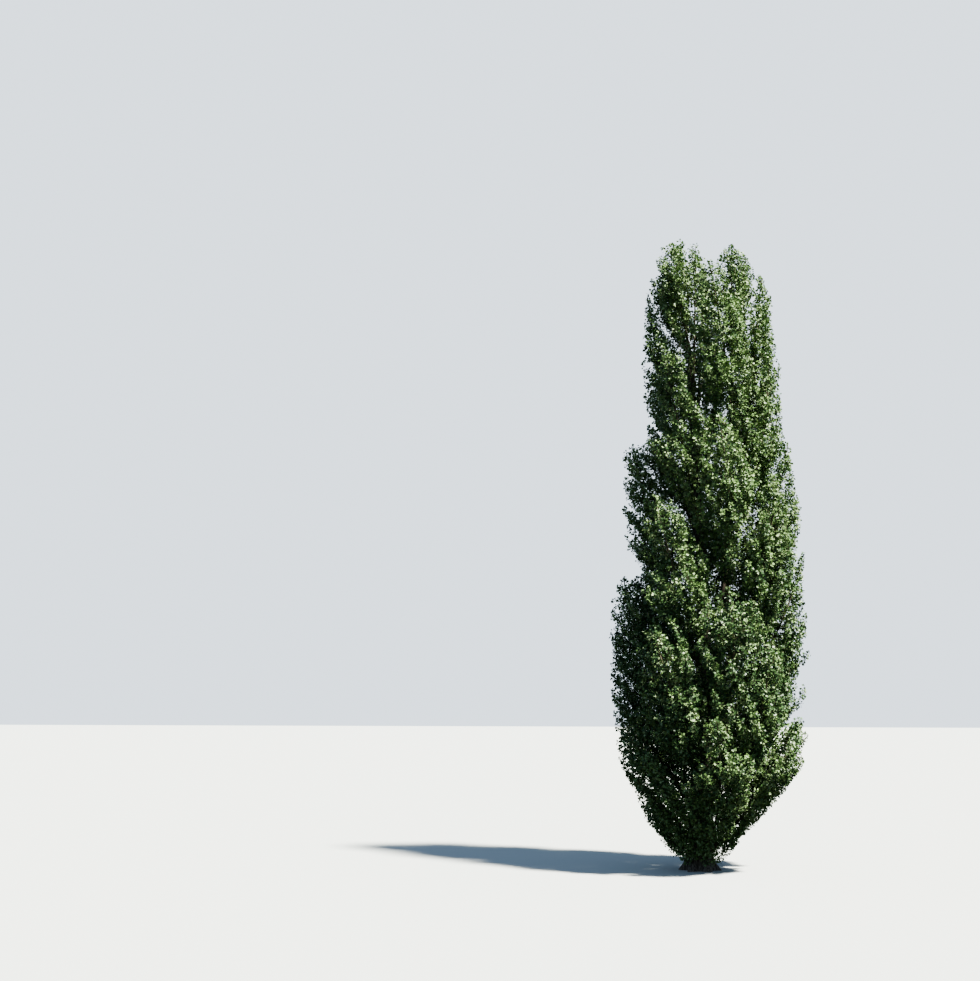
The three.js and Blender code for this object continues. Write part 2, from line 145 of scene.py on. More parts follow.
# The tops: the limb that each one grows from and the height at which it leaves it, how far right and back
# its tip stands, the tip's height, and the plume's greatest radius. The first ends the trunk, the second
# ends the leader, each from TOP_SINKS below its end, and the others stand between.
TOP_SINKS = 0.06
TOPS = (
    {"name": "foliage_top_left", "limb": "trunk", "leaves": TRUNK_TOP - TOP_SINKS,
     "right": -0.4, "back": 0.0, "tip": 20.0, "girth": 1.30},
    {"name": "foliage_top_right", "limb": "second_leader", "leaves": LEADER_TOP - TOP_SINKS,
     "right": 1.4, "back": 0.0, "tip": 19.85, "girth": 1.15},
    {"name": "foliage_top_middle", "limb": "trunk", "leaves": 14.2,
     "right": 0.25, "back": -0.25, "tip": 19.85, "girth": 1.20},
    {"name": "foliage_top_back", "limb": "trunk", "leaves": 13.2,
     "right": 0.5, "back": 0.8, "tip": 19.3, "girth": 1.25},
)
TOP_BOW = 0.5

# A bough is the bare first part of its plume's stem, thinner where it leaves the trunk higher up. Its
# foot and the second leader's swell into a collar.
BOUGH_SHARE = 0.25
BOUGH_RADIUS = 0.092
HIGH_BOUGH_SHARE = 0.62
BOUGH_TIP_SHARE = 0.55
STEM_RADIUS = 0.048
STEM_TIP_RADIUS = 0.012
BOUGH_SIDES = 12
BOUGH_RINGS = 40
BOUGH_KNOTS = 5
COLLAR_SHARE = 0.45
COLLAR_LENGTH = 0.22

# A plume is widest at PLUME_WAIST of its length, and narrows to a share of its girth at either end. A
# smaller power gives a rounder end. It keeps clear of the limbs that come within LIMB_REACH of its girth.
PLUME_WAIST = 0.45
PLUME_FOOT_SHARE = 0.6
PLUME_FOOT_POWER = 0.5
PLUME_TIP_SHARE = 0.2
PLUME_TIP_POWER = 0.85
PLUME_STEPS = 20
LIMB_REACH = 1.0

# How far plumes keep apart, as shares of their radius. A seam runs down between those of the trunk and
# those of the second leader: SEAM_SHARES wide at SEAM_HEIGHTS, and not there below the first height. Near
# the crown's surface, past GROOVE_FROM of its radius, grooves set off any two. Twig ends and leaves may
# pass into a groove or over to a neighbour by NEIGHBOUR_EASE.
NEIGHBOUR_EASE = 0.08
SEAM_HEIGHTS = (10.5, 17.5, 20.0)
SEAM_SHARES = (0.08, 0.1, 0.5)
GROOVE_SHARE = 0.12
GROOVE_FROM = 0.6

# Each shoot has a place, and the places stand evenly apart all through the crown: closer across than up
# it, by SHOOT_TALL, and further apart in its shady middle, which reaches to INNER_SHARE of its radius.
# SPACING_SHARES narrow the spacing at SPACING_HEIGHTS.
PLACES_TRIED = 90000
SHOOT_SPACING = 0.328
SHOOT_TALL = 2.4
INNER_SHARE = 0.5
INNER_SPACING = 1.45
SPACING_HEIGHTS = (1.0, 2.0, 6.0, 9.0, 16.0, 19.0)
SPACING_SHARES = (0.7, 0.95, 0.95, 1.0, 0.93, 0.75)

# A shoot leaves its plume's stem at a slope, so many times as far below its place as the place lies out
# from the stem, but not below SHOOT_FROM of the bough. It rises past its place by about SHOOT_RISE and
# leans a little to the left. The stem's last END_SHARE bears twigs as a shoot does.
SHOOT_SLOPE = 1.4
SHOOT_FROM = 0.6
SHOOT_RISE = 0.5
SHOOT_RISE_RANGE = (0.6, 1.2)
SHOOT_LEAN = 0.4
SHOOT_KNOTS = 7
SHOOT_RADIUS = 0.013
END_SHARE = 0.3

# The crown's surface stands out in clumps, with dark channels between them. Seeded waves make them: how
# far apart they are across and up the crown, how deep the channels are, how many waves there are, how far
# out in a plume the channels start, and how far right the clumps lean for each metre up, which below 0 is
# to the left.
CLUMP_ACROSS = 0.62
CLUMP_UP = 1.9
CLUMP_DEPTH = 0.48
CLUMP_WAVES = 9
CLUMP_FROM = 0.45
CLUMP_LEAN = -0.5

# Twigs leave the shoots at a steep angle, from TWIG_FROM of the way up, longer near the foot than near
# the tip. The last one runs on almost straight. One that would leave its plume's space is tried shorter,
# then left out.
TWIGS_PER_METRE = 11.0
LEAST_TWIGS = 4
TWIG_FROM = 0.22
TWIG_LENGTH = 0.235
TWIG_LENGTH_FOOT_TO_TIP = (1.2, 0.5)
TWIG_LENGTH_RANGE = (0.75, 1.2)
TWIG_SHORTER = (1.0, 0.7, 0.45)
TWIG_ANGLE = 34
TWIG_ANGLE_JITTER = 9
LAST_TWIG_RADIANS = 0.15
TWIG_RADIUS = 0.0042

# Shoots and twigs are pointed tubes, which narrow to this share of their radius before the point.
TUBE_SIDES = 3
TUBE_TIP_SHARE = 0.4

# Leaves: about as wide as long, pointed, folded along the midrib, each on a thin stalk. They face
# outwards and upwards in equal parts, and stray from that by LEAF_FACE_JITTER.
LEAVES_PER_TWIG = 11
LEAF_FROM = 0.12
LEAF_PLACE_JITTER = 0.5
LEAF_LENGTH = 0.079
LEAF_SIZE_JITTER = 0.18
LEAF_SIZE_LIMIT = 2
LEAF_WIDTH = 1.0
LEAF_WAIST = 0.36
LEAF_FOLD = 0.13
LEAF_DROOP = 0.4
LEAF_POINT_JITTER = 0.35
LEAF_FACE_OUT = 0.5
LEAF_FACE_UP = 0.5
LEAF_FACE_JITTER = 0.7
STALK_LENGTH = 0.045
STALK_LENGTH_RANGE = (0.7, 1.2)
STALK_WIDTH = 0.003
STALK_ANGLE = 55
STALK_ANGLE_JITTER = 12

# Leaves are joined into pieces that have no more triangles than this.
PIECE_TRIANGLES = 190000

# Leaf shades, by their number among the leaf materials: the common two, the dark one and the underside. The
# dark one is painted shade: the share of twigs with dark leaves is PAINTED_SHADE_SHARES at
# PAINTED_SHADE_HEIGHTS, most at low and middle heights, where the crown shades itself, none at the foot,
# and a few all over as a darker tone. A leaf shows its underside where its upper side looks outwards by
# less than OVER_LIMIT, with OVER_UP of what it looks upwards added.
COMMON_SHADES = np.array([0, 2])
PAINTED_SHADE_GREEN = 1
UNDER_SHADE = 3
PAINTED_SHADE_HEIGHTS = (0.5, 2.5, 6.0, 11.0)
PAINTED_SHADE_SHARES = (0.0, 0.3, 0.8, 0.2)
OVER_UP = 0.35
OVER_LIMIT = -0.1

# Bark ridges: their spacing across and along the trunk, how far they stand out, how they bend, how steep
# their sides are, and the share of their height that lies inside the limb's own radius.
RIDGE_ACROSS_MM = 75
RIDGE_ALONG_MM = 420
RIDGE_HEIGHT_MM = 16
RIDGE_BEND = 0.5
RIDGE_BEND_SPACING = 0.7
RIDGE_STEEPNESS = 2.6
RIDGE_SUNK_SHARE = 0.6
SMOOTH_ANGLE = 50

# The most parts that one subdivision cuts an edge into, and how nearly level an edge is that isn't cut.
MOST_PARTS = 60
LEVEL_WITHIN = 1e-6

# The photograph's camera: where it stood, how far it is turned left and tilted up, and its focal length in
# pixels of a frame 981 high.
CAMERA_PLACE = (0.0, -45.43, 5.30)
CAMERA_TURN_LEFT = 8.134
CAMERA_TILT_UP = 8.139
CAMERA_FOCAL_PIXELS = 1430
CAMERA_REACH = 1000
FRAME_PIXELS = 981
SENSOR_MM = 36

# The key light stands to the right and a little in front, turned so far from +X and so high up. It is as
# wide as KEY_WIDTH, so that shadows have soft edges.
KEY_TURN = -26
KEY_HEIGHT = 57
KEY_WIDTH = 5
KEY_ENERGY = 17.5
KEY_COLOUR = (1.0, 0.97, 0.89)

# The studio: the camera sees a paler floor and surround than those that light the tree.
FLOOR_SIZE = 400
FLOOR_SEEN = "#c6cac6"
FLOOR_BOUNCED = "#32372e"
SURROUND_SEEN = "#d5e0ea"
SURROUND_SEEN_STRENGTH = 1.9
SURROUND_FILL = "#a9c2e4"
SURROUND_FILL_STRENGTH = 0.62

radians = math.radians


def lerp(low, high, share):
    return low + (high - low) * share


def unit(vectors):
    return vectors / np.maximum(np.linalg.norm(vectors, axis=-1, keepdims=True), TINY)


def seeded(seed):
    """A seeded maker of numbers from 0 to 1, the same as the solids were grown with."""
    factor, step, states = 1664525, 1013904223, 4294967296
    state = seed

    def draw():
        nonlocal state
        state = (state * factor + step) % states
        return state / states

    return draw


def crown_radius(height):
    return np.interp(height, CROWN[:, 0], CROWN[:, 1])


def crown_middle(height):
    return np.interp(height, CROWN[:, 0], CROWN[:, 2])


def crown_share(points):
    """How far points lie from the crown's middle, as a share of its radius at their height."""
    height = points[:, 2]
    return np.hypot(points[:, 0] - crown_middle(height), points[:, 1]) / crown_radius(height)


def trunk_line(share):
    """Points of the trunk's middle line, upright at its foot and at its tip."""
    share = np.asarray(share, float)
    sway = 0.5 - 0.5 * np.cos(2 * np.pi * share)
    return np.stack([TRUNK_SWAY_RIGHT * sway, TRUNK_SWAY_BACK * sway, TRUNK_TOP * share], -1)


def trunk_radius(share, angle):
    """An even taper, with a foot that swells between its buttresses."""
    flare = np.exp(-share * TRUNK_TOP / FLARE_HEIGHT)
    ridge = BUTTRESS_DEPTH * flare * np.cos(BUTTRESSES * angle)
    return (lerp(TRUNK_RADIUS, TRUNK_TIP_RADIUS, share) + FLARE_RADIUS * flare) * (1 + ridge)


def rising_line(start, tip, bow, spiral):
    """A line that leaves a limb at a steep angle, bows outwards and turns up to its tip."""
    out = (tip - start) * FLAT

    def place(knot):
        turned = radians(knot["turned"] * spiral)
        cosine, sine = math.cos(turned), math.sin(turned)
        away = np.array([out[0] * cosine - out[1] * sine, out[0] * sine + out[1] * cosine, 0.0])
        climbed = knot["climbed"] * (tip[2] - start[2])
        return start + lerp(knot["steep"], knot["bowed"], bow) * away + climbed * UP

    low, high = place(LOW_KNOT), place(HIGH_KNOT)

    def line(share):
        t = np.asarray(share, float)[..., None]
        return (1 - t) ** 3 * start + 3 * (1 - t) ** 2 * t * low + 3 * (1 - t) * t**2 * high + t**3 * tip

    return line


def at_height(line, height):
    """The point of a limb's middle line at a height."""
    shares = np.linspace(0, 1, HEIGHT_SAMPLES)
    return line(np.interp(height, line(shares)[:, 2], shares))


def along_line(line, share):
    """The direction in which a line runs."""
    step = 1e-4
    share = np.asarray(share, float)
    return unit(line(np.minimum(share + step, 1)) - line(np.maximum(share - step, 0)))


def across_line(line, share, angle):
    """The direction across a line that turns by an angle, in radians, round it."""
    along = along_line(line, share)
    sideways = unit(np.cross(along, BACK))
    deep = np.cross(sideways, along)
    angle = np.asarray(angle, float)[..., None]
    return sideways * np.cos(angle) + deep * np.sin(angle)


def line_length(line, start=0.0):
    points = line(np.linspace(start, 1, LENGTH_SAMPLES))
    return np.linalg.norm(np.diff(points, axis=0), axis=1).sum()


def least_along(knots, radii, points, measure):
    """The least value, over the stretches of a line, of what measure makes of a distance and a radius."""
    least = np.full(len(points), np.inf)
    for i in range(1, len(knots)):
        span = knots[i] - knots[i - 1]
        share = np.clip((points - knots[i - 1]) @ span / (span @ span), 0, 1)
        distance = np.linalg.norm(points - knots[i - 1] - share[:, None] * span, axis=1)
        least = np.minimum(least, measure(distance, lerp(radii[i - 1], radii[i], share)))
    return least


def plume_share(share):
    """A plume's radius, as a share of its girth, at a share of its length: a flame, blunt below."""
    share = np.asarray(share, float)
    low = share < PLUME_WAIST
    end = np.where(low, PLUME_FOOT_SHARE, PLUME_TIP_SHARE)
    power = np.where(low, PLUME_FOOT_POWER, PLUME_TIP_POWER)
    off = np.where(low, 1 - share / PLUME_WAIST, (share - PLUME_WAIST) / (1 - PLUME_WAIST))
    return end + (1 - end) * np.maximum(0, 1 - off * off) ** power


class Limb:
    """A bare limb: its middle line, with its radius, up to an end, which is a share of the line."""

    def __init__(self, line, radius, knots, end=1.0):
        self.line = line
        self.radius = radius
        shares = np.linspace(0, end, knots)
        self.knots = line(shares)
        self.radii = radius(shares, np.zeros(knots))

    def gap(self, points):
        """How far points are from the limb's surface."""
        return least_along(self.knots, self.radii, points, lambda distance, radius: distance - radius)


class Plume:
    """The space of one mass of foliage, round its stem from where the leaves start to its tip. Its limb is
    the name of the one that it grows from, and its limbs are the ones that it keeps clear of."""

    def __init__(self, name, limb, line, start, girth, foot_radius):
        self.name = name
        self.limb = limb
        self.line = line
        self.start = start
        self.girth = girth
        self.foot_radius = foot_radius
        self.length = line_length(line, start)
        shares = np.linspace(start, 1, PLUME_STEPS + 1)
        self.knots = line(shares)
        self.radii = self.radius(shares)
        self.neighbours = []
        self.limbs = []

    def radius(self, share):
        return self.girth * plume_share((share - self.start) / (1 - self.start))

    def share_out(self, points):
        """How far out points lie in the space: 0 on the stem and 1 at its surface."""
        return least_along(self.knots, self.radii, points, lambda distance, radius: distance / radius)

    def meets(self, knots, reach):
        """Whether the space comes within reach of a line of points."""
        between = np.linalg.norm(self.knots[:, None] - knots[None], axis=-1)
        return between.min() < self.girth + reach


def clump_waves():
    """Seeded waves, whose sum swells where a clump stands out and sinks in the channels between clumps."""
    random = np.random.default_rng(SEED)
    ways = unit(random.normal(size=(CLUMP_WAVES, 3))) * 2 * np.pi / (CLUMP_ACROSS, CLUMP_ACROSS, CLUMP_UP)
    ways[:, 2] -= CLUMP_LEAN * ways[:, 0]
    return ways, random.random(CLUMP_WAVES) * 2 * np.pi


def channel_depth(points):
    """How far the foliage stands back from the crown's outline."""
    ways, starts = CLUMPS
    swell = np.sin(points @ ways.T + starts).sum(-1) / math.sqrt(CLUMP_WAVES / 2)
    return CLUMP_DEPTH * np.clip(0.5 - 0.5 * swell, 0, 1)


def in_outline(points, depth):
    """Which points are inside the crown's outline, and no nearer to it than a depth."""
    height = points[:, 2]
    across = np.hypot(points[:, 0] - crown_middle(height), points[:, 1])
    return (height > GROUND_CLEARANCE) & (height < TREE_HEIGHT) & (across < crown_radius(height) - depth)


def is_free(plume, points, ease=0.0):
    """Which points are in a plume's own space: inside its surface and the crown's, further in at a channel,
    nearer to it than to its neighbours, by a groove or the seam, and clear of the wood. An ease narrows
    the grooves and lets points pass over to a neighbour."""
    own = plume.share_out(points)
    depth = channel_depth(points) * np.clip((own - CLUMP_FROM) / (1 - CLUMP_FROM), 0, 1)
    free = (own + depth / plume.girth <= 1) & in_outline(points, depth)
    groove = GROOVE_SHARE * np.clip((crown_share(points) - GROOVE_FROM) / (1 - GROOVE_FROM), 0, 1) - ease
    seam = np.maximum(np.interp(points[:, 2], SEAM_HEIGHTS, SEAM_SHARES, left=0), groove)
    for other in plume.neighbours:
        least = own + (seam if other.limb != plume.limb else groove)
        free[free] = other.share_out(points[free]) >= least[free]
    for limb in plume.limbs:
        free[free] = limb.gap(points[free]) > WOOD_CLEARANCE
    return free


def grow_skeleton():
    """The limbs and the plumes, by the rule and the seed that the solids were grown with."""
    trunk = Limb(trunk_line, trunk_radius, TRUNK_KNOTS)
    foot = at_height(trunk_line, LEADER_LEAVES_AT)
    leader_line = rising_line(foot, np.array([LEADER_RIGHT, 0.0, LEADER_TOP]), 1, 0)

    def leader_radius(share, angle):
        return lerp(LEADER_RADIUS, LEADER_TIP_RADIUS, share) + 0 * angle

    leader = Limb(leader_line, leader_radius, LEADER_KNOTS)
    limbs = {"trunk": trunk, "second_leader": leader}
    plumes = []
    draw = seeded(SEED)

    def jitter(size):
        return size * (2 * draw() - 1)

    number = 0
    for tier in TIERS:
        for i in range(tier["count"]):
            number += 1
            strays = 1 if i else 0
            turn = tier["turn"] + 360 * i / tier["count"] + strays * jitter(TURN_JITTER)
            lift = strays * jitter(min(HEIGHT_JITTER, LOW_JITTER_SHARE * tier["leaves"]))
            limb = tier_limb(tier, turn, lift)
            line = tier_line(tier, turn, lift, limbs[limb])
            start, foot_radius = 0.0, STEM_RADIUS
            if tier["on_bough"]:
                thick = BOUGH_RADIUS * lerp(1, HIGH_BOUGH_SHARE, min(tier["leaves"] / TRUNK_TOP, 1))
                start, foot_radius = BOUGH_SHARE, thick * BOUGH_TIP_SHARE
                limbs[f"bough_{number:02d}"] = Limb(line, bough_radius(thick), BOUGH_KNOTS, BOUGH_SHARE)
            plumes.append(Plume(f"foliage_{number:02d}", limb, line, start, tier["girth"], foot_radius))
    for top in TOPS:
        tip = np.array([top["right"], top["back"], top["tip"] - top["girth"] * PLUME_TIP_SHARE])
        line = rising_line(at_height(limbs[top["limb"]].line, top["leaves"]), tip, TOP_BOW, 0)
        plumes.append(Plume(top["name"], top["limb"], line, 0.0, top["girth"], STEM_RADIUS))
    for plume in plumes:
        others = [other for other in plumes if other is not plume]
        plume.neighbours = [other for other in others if other.meets(plume.knots, plume.girth)]
        plume.limbs = [limb for limb in limbs.values() if plume.meets(limb.knots, LIMB_REACH)]
    return limbs, plumes


def bough_radius(thick):
    return lambda share, angle: thick * lerp(1, BOUGH_TIP_SHARE, share / BOUGH_SHARE) + 0 * angle


def tier_limb(tier, turn, lift):
    """The name of the limb that one plume of a tier grows from."""
    on_right = math.cos(radians(turn + SPIRAL)) > math.cos(radians(LEADER_SECTOR))
    return "second_leader" if tier["leaves"] + lift > LEADER_CARRIES_FROM and on_right else "trunk"


def tier_line(tier, turn, lift, limb):
    """The line of one plume of a tier, from its limb."""
    tip_radius = tier["girth"] * PLUME_TIP_SHARE
    height = tier["tip"] + lift - tip_radius
    out = crown_radius(height) - tip_radius * TIP_INSET_SHARE
    tip = [crown_middle(height) + out * math.cos(radians(turn)), out * math.sin(radians(turn)), height]
    foot = at_height(limb.line, tier["leaves"] + lift)
    return rising_line(foot, np.array(tip), tier["bow"], SPIRAL)


def near_line(line, start, points):
    """The share of a line, past a start, that lies nearest to each of a lot of points."""
    shares = np.linspace(start, 1, NEAR_SAMPLES)
    away = np.linalg.norm(points[:, None] - line(shares), axis=-1)
    return shares[away.argmin(1)]


def spread_places(plumes, random):
    """Places that stand evenly apart all through the crown, and the number of the plume whose space each is
    in. They are closer across than up the crown, and further apart in its shady middle."""
    low = np.array([-CROWN[:, 1].max(), -CROWN[:, 1].max(), GROUND_CLEARANCE])
    high = np.array([CROWN[:, 1].max() + CROWN[:, 2].max(), CROWN[:, 1].max(), TREE_HEIGHT])
    points = lerp(low, high, random.random((PLACES_TRIED, 3)))
    points = points[in_outline(points, 0)]
    owner = np.argmin([plume.share_out(points) for plume in plumes], 0)
    free = np.zeros(len(points), bool)
    for number, plume in enumerate(plumes):
        mine = owner == number
        free[mine] = is_free(plume, points[mine])
    points, owner = points[free], owner[free]
    spacing = SHOOT_SPACING * np.where(crown_share(points) > INNER_SHARE, 1, INNER_SPACING)
    spacing *= np.interp(points[:, 2], SPACING_HEIGHTS, SPACING_SHARES)
    squat = points / (1, 1, SHOOT_TALL)
    nearest = np.full(len(points), np.inf)
    kept = []
    for i in range(len(points)):
        if nearest[i] > spacing[i]:
            kept.append(i)
            nearest = np.minimum(nearest, np.linalg.norm(squat - squat[i], axis=1))
    return points[kept], owner[kept]


def grow_shoots(plume, places, random):
    """The middle lines of a plume's shoots, each with as many knots. A shoot leaves the stem below a place,
    bends out to it and rises beside the stem, as far as the plume's space goes. The first one is the stem's
    own end."""
    metres = plume.length / (1 - plume.start)
    near = near_line(plume.line, plume.start, places)
    out = np.linalg.norm(places - plume.line(near), axis=1)
    root = plume.line(np.maximum(near - SHOOT_SLOPE * out / metres, SHOOT_FROM * plume.start))
    length = SHOOT_RISE * lerp(*SHOOT_RISE_RANGE, random.random(len(places)))
    rise = unit(along_line(plume.line, near) + SHOOT_LEAN * LEFT) * length[:, None]
    bend, tip = places - rise, places + rise

    def line(share):
        t = share[..., None]
        return (1 - t) ** 2 * root[:, None] + 2 * (1 - t) * t * bend[:, None] + t**2 * tip[:, None]

    share = np.tile(np.linspace(0, 1, SHOOT_KNOTS), (len(places), 1))
    free = is_free(plume, line(share).reshape(-1, 3)).reshape(share.shape)
    free[:, : SHOOT_KNOTS // 2 + 1] = True
    reach = np.cumprod(free, axis=1).sum(1) - 1
    last = plume.line(np.linspace(1 - END_SHARE * (1 - plume.start), 1, SHOOT_KNOTS))
    return np.concatenate([last[None], line(share * reach[:, None] / (SHOOT_KNOTS - 1))])


def along_knots(lines, which, share):
    """Points on lines of knots at shares of them, and the directions in which they run there."""
    place = share * (lines.shape[1] - 1)
    low = np.minimum(place.astype(int), lines.shape[1] - 2)
    span = lines[which, low + 1] - lines[which, low]
    return lines[which, low] + span * (place - low)[:, None], unit(span)


def turned_off(along, angle, turn):
    """Directions at an angle to others, turned round them."""
    sideways = unit(np.cross(along, BACK))
    deep = np.cross(sideways, along)
    outward = sideways * np.cos(turn)[:, None] + deep * np.sin(turn)[:, None]
    return along * np.cos(angle)[:, None] + outward * np.sin(angle)[:, None]


def grow_twigs(plume, shoots, random):
    """The lines of the twigs on a plume's shoots, each from its root to its tip."""
    lengths = np.linalg.norm(np.diff(shoots, axis=1), axis=-1).sum(1)
    counts = np.maximum(LEAST_TWIGS, np.round(TWIGS_PER_METRE * (1 - TWIG_FROM) * lengths)).astype(int)
    which = np.repeat(np.arange(len(shoots)), counts)
    rank = np.concatenate([np.arange(n) for n in counts])
    share = lerp(TWIG_FROM, 1.0, (rank + random.random(len(rank))) / counts[which])
    share = np.where(rank == counts[which] - 1, 1.0, share)
    root, along = along_knots(shoots, which, share)
    angle = np.radians(TWIG_ANGLE + TWIG_ANGLE_JITTER * random.normal(size=len(rank)))
    angle = np.where(share == 1.0, LAST_TWIG_RADIANS, angle)
    way = turned_off(along, angle, np.radians(GOLDEN_ANGLE) * rank + which)
    length = TWIG_LENGTH * lerp(*TWIG_LENGTH_FOOT_TO_TIP, share)
    length = length * lerp(*TWIG_LENGTH_RANGE, random.random(len(rank)))
    kept = []
    for shorter in TWIG_SHORTER:
        tip = root + way * (shorter * length)[:, None]
        free = is_free(plume, tip, NEIGHBOUR_EASE)
        kept.append(np.stack([root, tip], 1)[free])
        root, way, length = root[~free], way[~free], length[~free]
    return np.concatenate(kept)


def grow_leaves(plume, twigs, random):
    """The leaves on a plume's twigs: where each stalk starts, where the blade starts, its length, the way
    it points, the way its upper side faces, and its twig."""
    which = np.repeat(np.arange(len(twigs)), LEAVES_PER_TWIG)
    rank = np.tile(np.arange(LEAVES_PER_TWIG), len(twigs))
    place = rank + LEAF_PLACE_JITTER * random.random(len(rank))
    share = lerp(LEAF_FROM, 1.0, place / (LEAVES_PER_TWIG - 1 + LEAF_PLACE_JITTER))
    root, along = along_knots(twigs, which, np.minimum(share, 1.0))
    angle = np.radians(STALK_ANGLE + STALK_ANGLE_JITTER * random.normal(size=len(rank)))
    stalk = turned_off(along, angle, np.radians(GOLDEN_ANGLE) * rank + which)
    foot = root + stalk * (STALK_LENGTH * lerp(*STALK_LENGTH_RANGE, random.random(len(rank))))[:, None]
    points = unit(stalk - LEAF_DROOP * UP + LEAF_POINT_JITTER * random.normal(size=foot.shape))
    size_jitter = random.normal(size=len(rank)).clip(-LEAF_SIZE_LIMIT, LEAF_SIZE_LIMIT)
    length = LEAF_LENGTH * (1 + LEAF_SIZE_JITTER * size_jitter)
    outward = foot * FLAT
    outward[:, 0] -= crown_middle(foot[:, 2])
    faces = unit(outward) * LEAF_FACE_OUT + UP * LEAF_FACE_UP
    faces = faces + LEAF_FACE_JITTER * random.normal(size=foot.shape)
    faces = unit(faces - points * (faces * points).sum(-1, keepdims=True))
    free = is_free(plume, foot + points * length[:, None], NEIGHBOUR_EASE)
    return root[free], foot[free], length[free], points[free], faces[free], which[free]


def leaf_mesh(root, foot, length, points, faces):
    """Vertices and triangles of leaves, and how many triangles each has: a stalk of one, and a blade of
    two, folded along the midrib and widest at LEAF_WAIST of its length."""
    sideways = np.cross(points, faces)
    half = 0.5 * LEAF_WIDTH
    outline = ((0, 0, 0), (half, LEAF_WAIST, LEAF_FOLD), (0, 1, 0), (-half, LEAF_WAIST, LEAF_FOLD))
    corners = [foot + (sideways * x + points * y + faces * z) * length[:, None] for x, y, z in outline]
    stalk = [root, foot + sideways * STALK_WIDTH]
    vertices = np.stack(corners + stalk, 1)
    triangles = np.array([(0, 1, 2), (0, 2, 3), (4, 5, 0)])
    steps = np.arange(len(root))[:, None, None] * vertices.shape[1]
    return vertices.reshape(-1, 3), (triangles + steps).reshape(-1, 3), len(triangles)


def tube_mesh(lines, root_radius):
    """Vertices and triangles of closed tubes along lines of knots, each one pointed."""
    count, knots = lines.shape[:2]
    whole = unit(lines[:, -1] - lines[:, 0])
    sideways = unit(np.cross(whole, BACK))
    deep = np.cross(sideways, whole)
    turns = np.arange(TUBE_SIDES) * 2 * np.pi / TUBE_SIDES
    ring = sideways[:, None] * np.cos(turns)[:, None] + deep[:, None] * np.sin(turns)[:, None]
    radius = root_radius * np.linspace(1, TUBE_TIP_SHARE, knots - 1)
    rings = lines[:, :-1, None] + ring[:, None] * radius[:, None, None]
    vertices = np.concatenate([rings.reshape(count, -1, 3), lines[:, -1:]], 1)
    tip = TUBE_SIDES * (knots - 1)
    triangles = [(0, i + 1, i) for i in range(1, TUBE_SIDES - 1)]
    for ring_start in range(0, tip, TUBE_SIDES):
        for side in range(TUBE_SIDES):
            a, b = ring_start + side, ring_start + (side + 1) % TUBE_SIDES
            c, d = a + TUBE_SIDES, b + TUBE_SIDES
            triangles += [(a, b, d), (a, d, c)] if c < tip else [(a, b, tip)]
    steps = np.arange(count)[:, None, None] * (tip + 1)
    return vertices.reshape(-1, 3), (np.array(triangles) + steps).reshape(-1, 3)


def add_piece(name, parts, materials, shades=None):
    """One object from several lots of vertices and triangles, with a material number for each triangle."""
    vertices = np.concatenate([part[0] for part in parts])
    starts = np.cumsum([0] + [len(part[0]) for part in parts[:-1]])
    triangles = np.concatenate([part[1] + start for part, start in zip(parts, starts)])
    mesh = bpy.data.meshes.new(name)
    mesh.vertices.add(len(vertices))
    mesh.vertices.foreach_set("co", vertices.astype(np.float32).ravel())
    mesh.loops.add(triangles.size)
    mesh.loops.foreach_set("vertex_index", triangles.astype(np.int32).ravel())
    mesh.polygons.add(len(triangles))
    mesh.polygons.foreach_set("loop_start", np.arange(0, triangles.size, 3, dtype=np.int32))
    for material in materials:
        mesh.materials.append(material)
    if shades is not None:
        mesh.polygons.foreach_set("material_index", np.concatenate(shades).astype(np.int32))
    mesh.update(calc_edges=True)
    piece = bpy.data.objects.new(name, mesh)
    bpy.context.scene.collection.objects.link(piece)
    return piece


def linear(hex_colour):
    """An sRGB hex colour as the linear red, green, blue and alpha that a shader takes."""
    parts = [int(hex_colour[i : i + 2], 16) / 255 for i in (1, 3, 5)]
    bright = [part / 12.92 if part <= 0.04045 else ((part + 0.055) / 1.055) ** 2.4 for part in parts]
    return (*bright, 1.0)


def add_node(material, kind, settings=None, **links):
    """A node with its settings, which are properties or socket values, and links into its sockets."""
    node = material.node_tree.nodes.new(kind)
    for name, value in (settings or {}).items():
        if hasattr(node, name):
            setattr(node, name, value)
        else:
            node.inputs[name].default_value = value
    for name, source in links.items():
        material.node_tree.links.new(source, node.inputs[name.replace("_", " ")])
    return node


def new_material(name):
    material = bpy.data.materials.new(name)
    material.use_nodes = True
    material.node_tree.nodes.clear()
    return material


def finish_material(material, shader):
    add_node(material, "ShaderNodeOutputMaterial", Surface=shader.outputs["BSDF"])
    return material


def seen_or_lighting(material, seen, lighting, output):
    """Two shaders of a material, or of the world, as one: the camera sees the first, and the second lights
    the tree."""
    path = add_node(material, "ShaderNodeLightPath")
    both = add_node(material, "ShaderNodeMixShader", Fac=path.outputs["Is Camera Ray"])
    material.node_tree.links.new(lighting.outputs[0], both.inputs[1])
    material.node_tree.links.new(seen.outputs[0], both.inputs[2])
    add_node(material, output, Surface=both.outputs["Shader"])


def leaf_material(name, colour, roughness):
    """A poplar leaf: thin and leathery, with a waxy skin that gives small bright glints."""
    material = new_material(name)
    settings = {"Base Color": linear(colour), "Roughness": roughness, "IOR": 1.45}
    return finish_material(material, add_node(material, "ShaderNodeBsdfPrincipled", settings))


